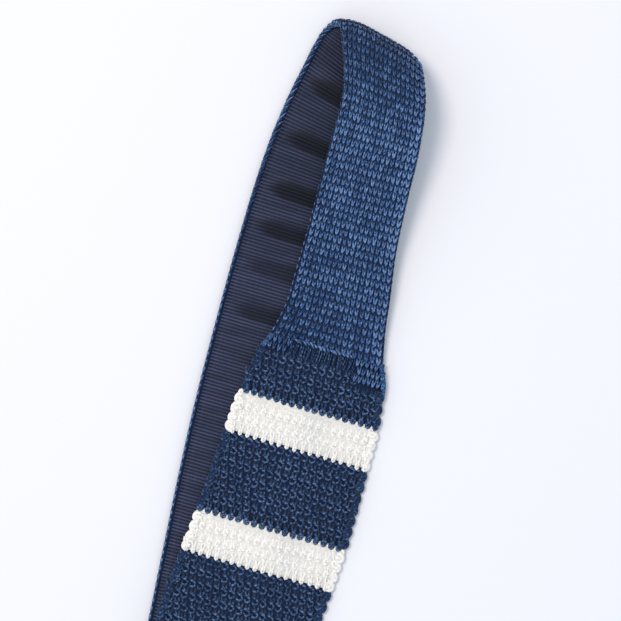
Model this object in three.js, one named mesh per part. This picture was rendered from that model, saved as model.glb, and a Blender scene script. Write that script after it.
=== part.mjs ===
// A knitted tie folded over at the neck and laid flat: striped front blade, lined neck band, plain rear blade.

import * as THREE from 'three';

// Fabrics, in millimetres
const bladeThickness = 3; // chunky knit of the two blades
const bandThickness = 2.5; // finer knit of the neck band
const liningThickness = 0.8; // ribbed ribbon inside the neck band
const clearance = 0.3; // between pieces that are sewn together or lie on each other

// Courses are the rows of stitches across a blade
const courseHeight = 4.86;
const stitchPitch = 3.1; // each course is set over by half of this
const yokeCourses = 5; // navy, between the neck band and the first stripe
const stripeCourses = 3;
const groundCourses = 7; // navy, below each stripe
const stripeCount = 12;
const rearCourses = 84;

// Blades
const jointWidth = 46; // where the front blade meets the neck band
const shoulderWidth = 61.5; // below the shoulder of the front blade
const frontWidth = 65; // square end of the front blade
const shoulderLength = 90;
const rearJointWidth = 38;
const rearWidth = 48;
const rearShoulderLength = 60;
const frontDrift = 4; // how far the front blade wanders to the left

// Neck band, seen from above
const neckWidth = 35.8;
const neckFrontLength = 124; // front blade to the fold
const neckRearLength = 304; // fold to the rear blade
const loopHeight = 21.8; // middle of the band where the fold stands highest
const crownHeight = 3.4; // bulge of the fold between its two edges
const seamHem = 0.8; // the band runs on past its last row to the seam with the front blade

// Lining
const liningInset = 3; // knitted selvage left bare at each edge of the band
const puckerPitch = 17.7;
const puckerRise = 1.3;
const puckerStart = 3.7; // from the level of the front joint to the nearest crease

// Drape of the upper layer past the edges of the lower one
const drapeHold = 5; // stays level over this run
const drapeRun = 14; // then sinks to the table over this one

const navyWool = new THREE.MeshStandardMaterial({ color: 0x1b2f57, roughness: 0.9, metalness: 0 });
const ecruWool = new THREE.MeshStandardMaterial({ color: 0xe9e4d8, roughness: 0.9, metalness: 0 });
const heatherWool = new THREE.MeshStandardMaterial({ color: 0x2c4674, roughness: 0.9, metalness: 0 });
const ribbonSilk = new THREE.MeshStandardMaterial({ color: 0x23253f, roughness: 0.6, metalness: 0 });

const frontLength = seamHem + courseHeight * (yokeCourses + stripeCount * (stripeCourses + groundCourses));
const rearJoint = neckFrontLength - neckRearLength;
const rearLength = courseHeight * rearCourses;
const rearEnd = rearJoint - rearLength;
const liningDepth = bandThickness / 2 + clearance + liningThickness / 2; // middle of band to middle of lining
const underBand = bandThickness / 2 + clearance + liningThickness;

// Turns rows of numbers into rows with named columns
function table(columns, rows) {
  return rows.map((row) => Object.fromEntries(columns.map((name, i) => [name, row[i]])));
}

// A smooth curve through one column of a table, read at any place along the table's first column
function curveThrough(rows, along, column) {
  const places = rows.map((row) => row[along]);
  const values = rows.map((row) => row[column]);
  const curve = new THREE.CubicInterpolant(places, values, 1, [0]);
  return (place) => curve.evaluate(place)[0];
}

// Shoulder of a blade: share of its length, share of the widening that is done
const shoulder = table(['along', 'spread'], [
  [0, 0],
  [0.08, 0.39],
  [0.18, 0.55],
  [0.27, 0.74],
  [0.43, 0.81],
  [0.8, 0.97],
  [1, 1],
]);

// Front of the neck band: share of neckFrontLength; centre as a share of neckWidth; how much of the flare
// towards jointWidth is left; rise of each edge as a share of loopHeight; crown as a share of crownHeight
const frontPly = table(['along', 'centre', 'flare', 'leftRise', 'rightRise', 'crown'], [
  [0, -0.014, 1, 0.232, 0.043, 0],
  [0.113, -0.021, 0.44, 0.264, 0.131, 0.05],
  [0.21, -0.046, 0.26, 0.296, 0.209, 0.12],
  [0.355, -0.09, -0.01, 0.346, 0.338, 0.2],
  [0.524, -0.125, -0.08, 0.401, 0.585, 0.26],
  [0.645, -0.141, -0.08, 0.447, 0.778, 0.31],
]);

// Fold: each edge's place along and across, and its rise, as shares of the same sizes
const fold = table(['leftAlong', 'left', 'leftRise', 'rightAlong', 'right', 'rightRise', 'crown'], [
  [0.726, -0.622, 0.475, 0.711, 0.312, 0.888, 0.38],
  [0.794, -0.645, 0.498, 0.77, 0.282, 0.943, 0.5],
  [0.867, -0.715, 0.521, 0.824, 0.238, 0.915, 0.7],
  [0.931, -0.804, 0.502, 0.871, 0.174, 0.796, 0.87],
  [0.97, -0.866, 0.424, 0.903, 0.122, 0.603, 1],
  [0.986, -0.906, 0.264, 0.918, 0.078, 0.392, 1],
  [0.986, -0.966, 0.105, 0.899, 0.004, 0.163, 0.82],
  [0.956, -1.038, 0.026, 0.856, -0.072, 0.044, 0.4],
  [0.906, -1.086, 0, 0.802, -0.137, 0, 0.08],
  [0.839, -1.128, 0, 0.754, -0.168, 0, 0],
  [0.758, -1.179, 0, 0.694, -0.201, 0, 0],
  [0.669, -1.223, 0, 0.625, -0.235, 0, 0],
  [0.565, -1.257, 0, 0.54, -0.26, 0, 0],
  [0.444, -1.274, 0, 0.435, -0.274, 0, 0],
]);

// Rear layer, from above: share of its way from the fold to the rear end, centre as a share of neckWidth
const rearDrift = table(['along', 'centre'], [
  [0.097, -0.774],
  [0.135, -0.776],
  [0.174, -0.76],
  [0.21, -0.738],
  [0.244, -0.701],
  [0.289, -0.63],
  [0.337, -0.548],
  [0.427, -0.416],
  [0.5, -0.312],
  [0.57, -0.222],
  [0.64, -0.152],
  [0.74, -0.115],
  [1, -0.112],
]);

// Front layer: share of shoulderLength below the joint, share of frontDrift
const frontLean = table(['along', 'lean'], [
  [0, 0.12],
  [0.5, 0.25],
  [0.85, 0.4],
  [1.2, 0.95],
  [1.6, 1],
  [2, 1],
]);

// How deep the puckers are kept: place from the joint as a share of neckFrontLength, share of puckerRise
const puckerDepth = table(['along', 'depth'], [
  [-0.3, 0.3],
  [0, 0.35],
  [0.16, 0.55],
  [0.45, 1],
  [1, 1],
]);

// One pucker: share of puckerPitch above its crease, share of its rise
const puckerProfile = table(['above', 'rise'], [
  [0, 0],
  [0.13, 0.6],
  [0.27, 1],
  [0.55, 0.5],
]);

const spreadAt = curveThrough(shoulder, 'along', 'spread');
const rearCentreAt = curveThrough(rearDrift, 'along', 'centre');
const frontLeanAt = curveThrough(frontLean, 'along', 'lean');
const puckerDepthAt = curveThrough(puckerDepth, 'along', 'depth');

function bladeWidth(distance, length, narrow, wide, end, fullLength) {
  if (distance < length) {
    return THREE.MathUtils.lerp(narrow, wide, spreadAt(distance / length));
  }
  return THREE.MathUtils.lerp(wide, end, (distance - length) / (fullLength - length));
}

function frontWidthAt(y) {
  return bladeWidth(-y, shoulderLength, jointWidth, shoulderWidth, frontWidth, frontLength);
}

function frontCentreAt(y) {
  return -frontDrift * frontLeanAt(Math.min(-y / shoulderLength, 2));
}

function rearCentre(y) {
  const along = (neckFrontLength - y) / (neckRearLength + rearLength);
  return neckWidth * rearCentreAt(THREE.MathUtils.clamp(along, rearDrift[0].along, 1));
}

function rearWidthAt(y) {
  if (y > rearJoint) return neckWidth;
  return bladeWidth(rearJoint - y, rearShoulderLength, rearJointWidth, rearWidth, rearWidth, rearLength);
}

function puckerDepthNear(y) {
  const along = THREE.MathUtils.clamp(y / neckFrontLength, puckerDepth[0].along, 1);
  return puckerRise * puckerDepthAt(along);
}

// Height at which the upper layer lies: over the lower layer, or down on the table beyond its edges
function restHeight(x, y) {
  const lined = THREE.MathUtils.smoothstep(y, rearJoint - drapeRun, rearJoint);
  const linedTop = bandThickness + clearance + liningThickness + puckerDepthNear(y);
  const lowerTop = THREE.MathUtils.lerp(bladeThickness, linedTop, lined) + clearance;
  const half = rearWidthAt(y) / 2;
  const beside = Math.abs(x - rearCentre(y)) - half;
  const below = rearEnd - y;
  const overSide = 1 - THREE.MathUtils.smoothstep(beside, drapeHold, drapeHold + drapeRun);
  const overEnd = 1 - THREE.MathUtils.smoothstep(below, drapeHold, drapeHold + drapeRun);
  return lowerTop * overSide * overEnd;
}

// The larger of two heights, with the corner between them eased
function softMax(first, second) {
  const ease = 2;
  const blend = Math.max(ease - Math.abs(first - second), 0) / ease;
  return Math.max(first, second) + (blend * blend * ease) / 4;
}

// A closed skin over a row of rings, each with matching outer and inner points from left to right
function slab(rings) {
  const columns = rings[0].outer.length;
  const count = 2 * columns + 2;
  const points = rings.flatMap((ring) => [ring.left, ...ring.outer, ring.right, ...ring.inner.toReversed()]);
  const faces = [];
  for (let row = 0; row < rings.length - 1; row += 1) {
    for (let i = 0; i < count; i += 1) {
      const here = row * count + i;
      const next = row * count + ((i + 1) % count);
      faces.push(here, next, next + count, here, next + count, here + count);
    }
  }
  const lastRing = (rings.length - 1) * count;
  const cap = [[0, count - 1, 1], [columns, columns + 2, columns + 1]];
  for (let i = 1; i < columns; i += 1) {
    cap.push([i, count - i, count - i - 1], [i, count - i - 1, i + 1]);
  }
  for (const [a, b, c] of cap) {
    faces.push(a, b, c, lastRing + a, lastRing + c, lastRing + b);
  }
  const geometry = new THREE.BufferGeometry().setFromPoints(points);
  geometry.setIndex(faces);
  geometry.computeVertexNormals();
  return geometry;
}

// Section of a blade at one place: face and back follow the surface that it lies on
function bladeRing(y, centre, width, columns, heightAt, faceUp) {
  const place = (share, lift) => {
    const x = centre + (share - 0.5) * width;
    return new THREE.Vector3(x, y, heightAt(x, y) + lift * bladeThickness);
  };
  return {
    left: place(0, 0.5),
    right: place(1, 0.5),
    outer: columns.map((share) => place(share, faceUp ? 1 : 0)),
    inner: columns.map((share) => place(share, faceUp ? 0 : 1)),
  };
}

// Sideways set of one course
function courseShift(course) {
  return (course % 2 === 0 ? 1 : -1) * (stitchPitch / 4);
}

// The upper layer is lifted a little where it runs into the lined neck band
function frontRest(x, y) {
  const nearBand = 1 - THREE.MathUtils.smoothstep(-y, 0, shoulderLength / 3);
  return restHeight(x, y) + nearBand * (liningThickness + clearance);
}

function frontSection(firstCourse, courses) {
  const columns = [0.03, 0.2, 0.4, 0.6, 0.8, 0.97];
  const ringAt = (y, shift) => {
    return bladeRing(y, frontCentreAt(y) + shift, frontWidthAt(y), columns, frontRest, true);
  };
  const placeOf = (course) => -seamHem - course * courseHeight;
  const rings = [ringAt(placeOf(firstCourse + courses) + clearance / 2, 0)];
  for (let course = firstCourse + courses - 1; course >= firstCourse; course -= 1) {
    rings.push(ringAt(placeOf(course + 0.5), courseShift(course)));
  }
  rings.push(ringAt(placeOf(firstCourse) - clearance / 2, 0));
  return slab(rings);
}

function rearBlade() {
  const columns = [0.04, 0.35, 0.65, 0.96];
  const onTable = () => 0;
  const ringAt = (y, shift) => {
    return bladeRing(y, rearCentre(y) + shift, rearWidthAt(y), columns, onTable, false);
  };
  const rings = [ringAt(rearJoint - clearance, 0)];
  for (let course = 0; course < rearCourses; course += 1) {
    rings.push(ringAt(rearJoint - (course + 0.5) * courseHeight, courseShift(course)));
  }
  rings.push(ringAt(rearEnd, 0));
  return slab(rings);
}

// Left and right edge of the neck band, from the front joint over the fold to the rear joint
function bandEdges() {
  const flat = bandThickness / 2;
  const rise = loopHeight - flat;
  const left = [];
  const right = [];
  for (const row of frontPly) {
    const width = THREE.MathUtils.lerp(neckWidth, jointWidth, row.flare);
    const drop = rise * (row.rightRise - row.leftRise);
    const half = Math.sqrt(width ** 2 - drop ** 2) / 2;
    const y = THREE.MathUtils.lerp(-seamHem + clearance / 2, neckFrontLength, row.along);
    left.push(new THREE.Vector3(row.centre * neckWidth - half, y, flat + row.leftRise * rise));
    right.push(new THREE.Vector3(row.centre * neckWidth + half, y, flat + row.rightRise * rise));
  }
  for (const row of fold) {
    const leftY = row.leftAlong * neckFrontLength;
    const rightY = row.rightAlong * neckFrontLength;
    left.push(new THREE.Vector3(row.left * neckWidth, leftY, flat + row.leftRise * rise));
    right.push(new THREE.Vector3(row.right * neckWidth, rightY, flat + row.rightRise * rise));
  }
  const straightStart = fold.at(-1).leftAlong * neckFrontLength;
  const straightSteps = 8;
  for (let step = 1; step <= straightSteps; step += 1) {
    const y = THREE.MathUtils.lerp(straightStart, rearJoint, step / straightSteps);
    left.push(new THREE.Vector3(rearCentre(y) - neckWidth / 2, y, flat));
    right.push(new THREE.Vector3(rearCentre(y) + neckWidth / 2, y, flat));
  }
  return { left: new THREE.CatmullRomCurve3(left), right: new THREE.CatmullRomCurve3(right) };
}

const edges = bandEdges();
const bandRows = edges.left.points.length - 1;
const turnedRows = frontPly.length + 8; // rows down to where the fold has come to lie flat
const crownRows = [...frontPly, ...fold].map((row, i) => ({ place: i, crown: row.crown }));
const crownAt = curveThrough(crownRows, 'place', 'crown');

// Where the band runs at a share of the way through its rows, with the direction its face looks
function bandStation(share) {
  const step = 0.002;
  const middleAt = (place) => {
    const inside = THREE.MathUtils.clamp(place, 0, 1);
    return edges.left.getPoint(inside).lerp(edges.right.getPoint(inside), 0.5);
  };
  const left = edges.left.getPoint(share);
  const right = edges.right.getPoint(share);
  const forward = middleAt(share + step).sub(middleAt(share - step));
  const out = right.clone().sub(left).cross(forward).normalize();
  const crown = crownHeight * crownAt(Math.min(share * bandRows, crownRows.length - 1));
  return { left, right, out, crown };
}

// Middle of the band's thickness, at a share of its width; it never sinks into the table or the rear layer
function bandMiddle(station, across) {
  const point = station.left.clone().lerp(station.right, across);
  point.addScaledVector(station.out, station.crown * (1 - Math.abs(2 * across - 1) ** 4));
  point.z = Math.max(point.z, bandThickness / 2);
  if (station.out.z > 0.5) {
    point.z = softMax(point.z, restHeight(point.x, point.y) + underBand);
  }
  return point;
}

// Section of the band or the lining: depth is how far its middle lies behind the middle of the band
function bandRing(station, columns, inset, thickness, depthAt) {
  const width = station.left.distanceTo(station.right);
  const place = (share, lift) => {
    const across = THREE.MathUtils.lerp(inset / width, 1 - inset / width, share);
    return bandMiddle(station, across).addScaledVector(station.out, lift * thickness - depthAt(share));
  };
  return {
    left: place(0, 0),
    right: place(1, 0),
    outer: columns.map((share) => place(share, 0.5)),
    inner: columns.map((share) => place(share, -0.5)),
  };
}

function neckBand() {
  const columns = [0.03, 0.15, 0.32, 0.5, 0.68, 0.85, 0.97];
  const perRow = 3;
  const steps = bandRows * perRow;
  const rings = [];
  for (let step = 0; step <= steps; step += 1) {
    rings.push(bandRing(bandStation(step / steps), columns, 0, bandThickness, () => 0));
  }
  return slab(rings);
}

// Share of the way through the band's rows at which its middle passes a place on the rear layer
function shareOnRear(y) {
  let near = turnedRows / bandRows;
  let far = 1;
  for (let i = 0; i < 30; i += 1) {
    const middle = (near + far) / 2;
    const station = bandStation(middle);
    if ((station.left.y + station.right.y) / 2 > y) near = middle;
    else far = middle;
  }
  return (near + far) / 2;
}

// The ribbon follows the inside of the band and stands off it in puckers on the rear layer
function neckLining() {
  const columns = [0.03, 0.25, 0.5, 0.75, 0.97];
  const stations = [];
  const perRow = 2;
  for (let step = 0; step < turnedRows * perRow; step += 1) {
    stations.push({ share: (step + 0.1) / perRow / bandRows, rise: 0 });
  }
  const flatTop = fold[turnedRows - frontPly.length].rightAlong * neckFrontLength;
  const firstCrease = Math.floor((flatTop - puckerStart) / puckerPitch);
  const lastCrease = Math.ceil((rearJoint - puckerStart) / puckerPitch);
  for (let pucker = firstCrease; pucker >= lastCrease; pucker -= 1) {
    const crease = puckerStart + pucker * puckerPitch;
    for (const row of puckerProfile.toReversed()) {
      const y = crease + row.above * puckerPitch;
      if (y < flatTop) stations.push({ share: shareOnRear(y), rise: row.rise * puckerDepthNear(y) });
    }
  }
  stations.push({ share: 1, rise: 0 });
  const rings = stations.map(({ share, rise }) => {
    const depthAt = (across) => liningDepth + rise * THREE.MathUtils.smoothstep(across, 0, 0.6);
    return bandRing(bandStation(share), columns, liningInset, liningThickness, depthAt);
  });
  return slab(rings);
}

const tie = new THREE.Group();

function addPiece(name, geometry, material) {
  const piece = new THREE.Mesh(geometry, material);
  piece.name = name;
  tie.add(piece);
}

const twoDigits = (number) => String(number).padStart(2, '0');

addPiece('front_blade_navy_01', frontSection(0, yokeCourses), navyWool);
for (let stripe = 0; stripe < stripeCount; stripe += 1) {
  const start = yokeCourses + stripe * (stripeCourses + groundCourses);
  addPiece(`front_blade_stripe_${twoDigits(stripe + 1)}`, frontSection(start, stripeCourses), ecruWool);
  const ground = frontSection(start + stripeCourses, groundCourses);
  addPiece(`front_blade_navy_${twoDigits(stripe + 2)}`, ground, navyWool);
}
addPiece('neck_band', neckBand(), heatherWool);
addPiece('neck_lining', neckLining(), ribbonSilk);
addPiece('rear_blade', rearBlade(), navyWool);

// The origin is on the table, at the middle of the tie's outline
const outline = new THREE.Box3().setFromObject(tie);
const middle = outline.getCenter(new THREE.Vector3());
tie.position.set(-middle.x, -middle.y, -outline.min.z);

export default tie;
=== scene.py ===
import bpy
import itertools
import math
import numpy as np
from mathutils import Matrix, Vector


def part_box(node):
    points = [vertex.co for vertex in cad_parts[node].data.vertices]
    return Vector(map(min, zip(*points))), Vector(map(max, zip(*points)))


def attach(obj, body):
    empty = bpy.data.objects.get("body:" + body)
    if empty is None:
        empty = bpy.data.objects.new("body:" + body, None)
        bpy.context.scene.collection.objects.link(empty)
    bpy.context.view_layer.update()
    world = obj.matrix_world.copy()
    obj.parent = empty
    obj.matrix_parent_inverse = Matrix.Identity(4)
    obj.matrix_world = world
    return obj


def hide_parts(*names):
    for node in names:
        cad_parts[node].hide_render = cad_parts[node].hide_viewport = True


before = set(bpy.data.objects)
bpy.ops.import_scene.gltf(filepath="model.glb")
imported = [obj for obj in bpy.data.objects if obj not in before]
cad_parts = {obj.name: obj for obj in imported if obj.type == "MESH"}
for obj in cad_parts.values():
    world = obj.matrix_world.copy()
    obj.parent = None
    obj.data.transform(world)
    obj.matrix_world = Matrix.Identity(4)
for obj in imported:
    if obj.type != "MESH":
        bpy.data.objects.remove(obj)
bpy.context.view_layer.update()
scene = bpy.context.scene
chance = np.random.default_rng(11)
print("frame loaded,", len(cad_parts), "solids")

# Every length below is in millimetres, from the seam between the front blade and the neck band,
# with x to the right and y towards the fold. These sizes are the same as in the part's source
blade = {
    "thickness": 3.0,
    "course": 4.86,  # height of one row of stitches
    "pitch": 3.1,  # width of one stitch
    "yoke": 5,  # navy courses above the first stripe
    "stripe": 3,
    "ground": 7,
    "stripes": 12,
    "hem": 0.8,
    "joint": 46.0,
    "shoulder": 61.5,
    "end": 65.0,
    "shoulderLength": 90.0,
    "drift": 4.0,
}
rear = {"joint": 38.0, "width": 48.0, "shoulderLength": 60.0, "courses": 84}
band = {
    "thickness": 2.5,
    "width": 35.8,
    "front": 124.0,
    "rear": 304.0,
    "loop": 21.8,
    "crown": 3.4,
}
lining = {"thickness": 0.8, "inset": 3.0, "rise": 1.3}
clearance = 0.3
drape = {"hold": 5.0, "run": 14.0}

courses = blade["yoke"] + blade["stripes"] * (blade["stripe"] + blade["ground"])
frontLength = blade["hem"] + blade["course"] * courses
rearJoint = band["front"] - band["rear"]
rearLength = blade["course"] * rear["courses"]
rearEnd = rearJoint - rearLength

# From the seam to the part's own frame, found by the front blade's end and the rear blade's joint
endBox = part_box("front_blade_navy_13")
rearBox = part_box("rear_blade")
seamX = 500 * (endBox[0].x + endBox[1].x) + blade["drift"]
seamY = 1000 * rearBox[1].y - rearJoint + clearance
toFrame = np.array([seamX, seamY, 0.0])


def smoothStep(value, low, high):
    t = np.clip((value - low) / (high - low), 0, 1)
    return t * t * (3 - 2 * t)


def mix(a, b, share):
    return a + (b - a) * share


# A smooth line through the values given at some places
def curveThrough(rows, column=1):
    t, y = (np.array([row[i] for row in rows], float) for i in (0, column))

    def at(place):
        i = np.clip(np.searchsorted(t, place, "right") - 1, 0, len(t) - 2)
        before = np.where(i > 0, i - 1, i + 1)
        after = np.where(i + 2 < len(t), i + 2, i)
        half = (t[i + 1] - t[i]) / 2
        wBefore, wAfter = half / (t[i] - t[before]), half / (t[after] - t[i + 1])
        p = np.clip((place - t[i]) / (2 * half), 0, 1)
        return (
            y[before] * wBefore * (-p**3 + 2 * p**2 - p)
            + y[i] * ((1 + wBefore) * p**3 - (1.5 + 2 * wBefore) * p**2 + (wBefore - 0.5) * p + 1)
            + y[i + 1] * ((-1 - wAfter) * p**3 + (1.5 + wAfter) * p**2 + 0.5 * p)
            + y[after] * wAfter * (p**3 - p**2)
        )

    return at


# A smooth line in space through points
def lineThrough(points):
    points = np.array(points, float)
    full = np.vstack([2 * points[0] - points[1], points, 2 * points[-1] - points[-2]])

    def at(share):
        p = np.clip(share, 0, 1) * (len(points) - 1)
        i = np.minimum(p.astype(int), len(points) - 2)
        w = (p - i)[:, None]
        a, b, c, d = (full[i + k] for k in range(4))
        gaps = (((v - u) ** 2).sum(1) for u, v in ((a, b), (b, c), (c, d)))
        step = [np.maximum(gap, 1e-8)[:, None] ** 0.25 for gap in gaps]
        m1 = ((b - a) / step[0] - (c - a) / (step[0] + step[1]) + (c - b) / step[1]) * step[1]
        m2 = ((c - b) / step[1] - (d - b) / (step[1] + step[2]) + (d - c) / step[2]) * step[1]
        return b + m1 * w + (3 * (c - b) - 2 * m1 - m2) * w**2 + (2 * (b - c) + m1 + m2) * w**3

    return at


# Shares of the shoulder's widening, of the front blade's lean, of the band's width and of the puckers' rise
shoulderAt = curveThrough([(0, 0), (0.08, 0.39), (0.18, 0.55), (0.27, 0.74), (0.43, 0.81), (0.8, 0.97), (1, 1)])
leanAt = curveThrough([(0, 0.12), (0.5, 0.25), (0.85, 0.4), (1.2, 0.95), (1.6, 1), (2, 1)])
rearCentreAt = curveThrough([
    (0.097, -0.774), (0.135, -0.776), (0.174, -0.76), (0.21, -0.738), (0.244, -0.701), (0.289, -0.63),
    (0.337, -0.548), (0.427, -0.416), (0.5, -0.312), (0.57, -0.222), (0.64, -0.152), (0.74, -0.115), (1, -0.112),
])
puckerDepthAt = curveThrough([(-0.3, 0.3), (0, 0.35), (0.16, 0.55), (0.45, 1), (1, 1)])


def frontWidth(y):
    inShoulder = mix(blade["joint"], blade["shoulder"], shoulderAt(-y / blade["shoulderLength"]))
    below = (-y - blade["shoulderLength"]) / (frontLength - blade["shoulderLength"])
    return np.where(below < 0, inShoulder, mix(blade["shoulder"], blade["end"], below))


def frontCentre(y):
    return -blade["drift"] * leanAt(np.clip(-y / blade["shoulderLength"], 0, 2))


def rearCentre(y):
    return band["width"] * rearCentreAt(np.clip((band["front"] - y) / (band["rear"] + rearLength), 0.097, 1))


def rearWidth(y):
    inBlade = mix(rear["joint"], rear["width"], shoulderAt((rearJoint - y) / rear["shoulderLength"]))
    return np.where(y > rearJoint, band["width"], inBlade)


def puckerDepth(y):
    return lining["rise"] * puckerDepthAt(np.clip(y / band["front"], -0.3, 1))


# Height of the layer that the upper one lies on
def restHeight(x, y):
    lined = smoothStep(y, rearJoint - drape["run"], rearJoint)
    linedTop = band["thickness"] + clearance + lining["thickness"] + puckerDepth(y)
    beside = np.abs(x - rearCentre(y)) - rearWidth(y) / 2
    overSide = 1 - smoothStep(beside, drape["hold"], drape["hold"] + drape["run"])
    overEnd = 1 - smoothStep(rearEnd - y, drape["hold"], drape["hold"] + drape["run"])
    return (mix(blade["thickness"], linedTop, lined) + clearance) * overSide * overEnd


def frontRest(x, y):
    nearBand = 1 - smoothStep(-y, 0, blade["shoulderLength"] / 3)
    return restHeight(x, y) + nearBand * (lining["thickness"] + clearance)


# The neck band's two edges, row by row: first the front run up to the fold, then the fold and the run back.
# Places across and heights are shares of the band's width and of the loop's height
# along, centre, flare, left rise, right rise, crown
frontPly = [
    (0, -0.014, 1, 0.232, 0.043, 0), (0.113, -0.021, 0.44, 0.264, 0.131, 0.05),
    (0.21, -0.046, 0.26, 0.296, 0.209, 0.12), (0.355, -0.09, -0.01, 0.346, 0.338, 0.2),
    (0.524, -0.125, -0.08, 0.401, 0.585, 0.26), (0.645, -0.141, -0.08, 0.447, 0.778, 0.31),
]
# left along, left, left rise, right along, right, right rise, crown
fold = [
    (0.726, -0.622, 0.475, 0.711, 0.312, 0.888, 0.38), (0.794, -0.645, 0.498, 0.77, 0.282, 0.943, 0.5),
    (0.867, -0.715, 0.521, 0.824, 0.238, 0.915, 0.7), (0.931, -0.804, 0.502, 0.871, 0.174, 0.796, 0.87),
    (0.97, -0.866, 0.424, 0.903, 0.122, 0.603, 1), (0.986, -0.906, 0.264, 0.918, 0.078, 0.392, 1),
    (0.986, -0.966, 0.105, 0.899, 0.004, 0.163, 0.82), (0.956, -1.038, 0.026, 0.856, -0.072, 0.044, 0.4),
    (0.906, -1.086, 0, 0.802, -0.137, 0, 0.08), (0.839, -1.128, 0, 0.754, -0.168, 0, 0),
    (0.758, -1.179, 0, 0.694, -0.201, 0, 0), (0.669, -1.223, 0, 0.625, -0.235, 0, 0),
    (0.565, -1.257, 0, 0.54, -0.26, 0, 0), (0.444, -1.274, 0, 0.435, -0.274, 0, 0),
]
surface = {
    "rearRows": 8,  # from the end of the fold to the rear blade
    "steps": 26,  # of the grid from row to row
    "columns": 49,
    "probe": 0.002,  # how far to each side the band's direction is felt
    "ease": 2.0,  # height over which the band leaves the layer below
    "flatRow": 8,  # row of the fold where the strap has turned over
}


def bandEdges():
    flat = band["thickness"] / 2
    rise = band["loop"] - flat
    left, right = [], []
    for along, centre, flare, leftRise, rightRise, _ in frontPly:
        width = mix(band["width"], blade["joint"], flare)
        half = math.sqrt(width**2 - (rise * (rightRise - leftRise)) ** 2) / 2
        y = mix(-blade["hem"] + clearance / 2, band["front"], along)
        left.append((centre * band["width"] - half, y, flat + leftRise * rise))
        right.append((centre * band["width"] + half, y, flat + rightRise * rise))
    for leftAlong, leftPlace, leftRise, rightAlong, rightPlace, rightRise, _ in fold:
        left.append((leftPlace * band["width"], leftAlong * band["front"], flat + leftRise * rise))
        right.append((rightPlace * band["width"], rightAlong * band["front"], flat + rightRise * rise))
    for y in np.linspace(fold[-1][0] * band["front"], rearJoint, surface["rearRows"] + 1)[1:]:
        centre = float(rearCentre(y))
        left.append((centre - band["width"] / 2, y, flat))
        right.append((centre + band["width"] / 2, y, flat))
    return left, right


def unit(v):
    return v / np.maximum(np.linalg.norm(v, axis=-1, keepdims=True), 1e-9)


# The band's middle surface as a fine grid, with its normals, its length up to each row and its widths
def bandSurface():
    edges = bandEdges()
    left, right = (lineThrough(points) for points in edges)
    rows = len(edges[0]) - 1
    shaped = frontPly + fold
    crownAt = curveThrough([(i, row[-1]) for i, row in enumerate(shaped)])
    share = np.linspace(0, 1, rows * surface["steps"] + 1)
    l, r = left(share), right(share)
    ahead, behind = (np.clip(share + step, 0, 1) for step in (surface["probe"], -surface["probe"]))
    out = unit(np.cross(r - l, (left(ahead) + right(ahead)) / 2 - (left(behind) + right(behind)) / 2))
    crown = band["crown"] * crownAt(np.minimum(share * rows, len(shaped) - 1))
    across = np.linspace(0, 1, surface["columns"])
    grid = l[:, None] + (r - l)[:, None] * across[None, :, None]
    grid = grid + out[:, None] * (crown[:, None] * (1 - np.abs(2 * across - 1) ** 4))[..., None]
    z = np.maximum(grid[..., 2], band["thickness"] / 2)
    over = restHeight(grid[..., 0], grid[..., 1]) + band["thickness"] / 2 + clearance + lining["thickness"]
    near = np.maximum(surface["ease"] - np.abs(z - over), 0)
    grid[..., 2] = np.where(out[:, None, 2] > 0.5, np.maximum(z, over) + (near / 2) ** 2 / 2, z)
    normal = unit(np.cross(np.gradient(grid, axis=1), np.gradient(grid, axis=0)))
    middle = grid[:, surface["columns"] // 2]
    along = np.concatenate([[0], np.cumsum(np.linalg.norm(np.diff(middle, axis=0), axis=1))])
    return {
        "grid": grid, "normal": normal, "middle": middle, "along": along, "width": np.linalg.norm(r - l, axis=1),
    }


bandGrid = bandSurface()
bandLength = float(bandGrid["along"][-1])
turnedAt = float(bandGrid["along"][(len(frontPly) + surface["flatRow"]) * surface["steps"]])
strapStart = turnedAt - 60  # the strap's inner side shows from here on
print("neck band is", round(bandLength), "mm long,", round(turnedAt), "mm of it up to where the fold lies flat")


def bandWidth(along):
    return np.interp(along, bandGrid["along"], bandGrid["width"])


def middleY(along):
    return np.interp(along, bandGrid["along"], bandGrid["middle"][:, 1])


# Points given as share of the width, place along and height over the band's middle
def onBand(across, along, height):
    rows, columns = bandGrid["grid"].shape[:2]
    v = np.interp(along, bandGrid["along"], np.arange(rows))
    u = np.clip(across, 0, 1) * (columns - 1)
    i, j = np.clip(v.astype(int), 0, rows - 2), np.clip(u.astype(int), 0, columns - 2)
    a, b = (v - i)[:, None], (u - j)[:, None]

    def blend(g):
        near, far = (g[row, j] * (1 - b) + g[row, j + 1] * b for row in (i, i + 1))
        return near * (1 - a) + far * a

    point, normal = blend(bandGrid["grid"]), unit(blend(bandGrid["normal"]))
    # past an edge or an end it carries on straight
    side = unit(bandGrid["grid"][i, columns - 1] - bandGrid["grid"][i, 0])
    point = point + side * ((across - np.clip(across, 0, 1)) * bandWidth(along))[:, None]
    ahead = unit(bandGrid["middle"][i + 1] - bandGrid["middle"][i])
    beyond = along - np.clip(along, 0, bandLength)
    return point + ahead * beyond[:, None] + normal * height[:, None]


# Four-sided faces, from the numbers of their corners
def quadsOf(*corners):
    return np.stack(np.broadcast_arrays(*corners), -1).reshape(-1, 4)


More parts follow.
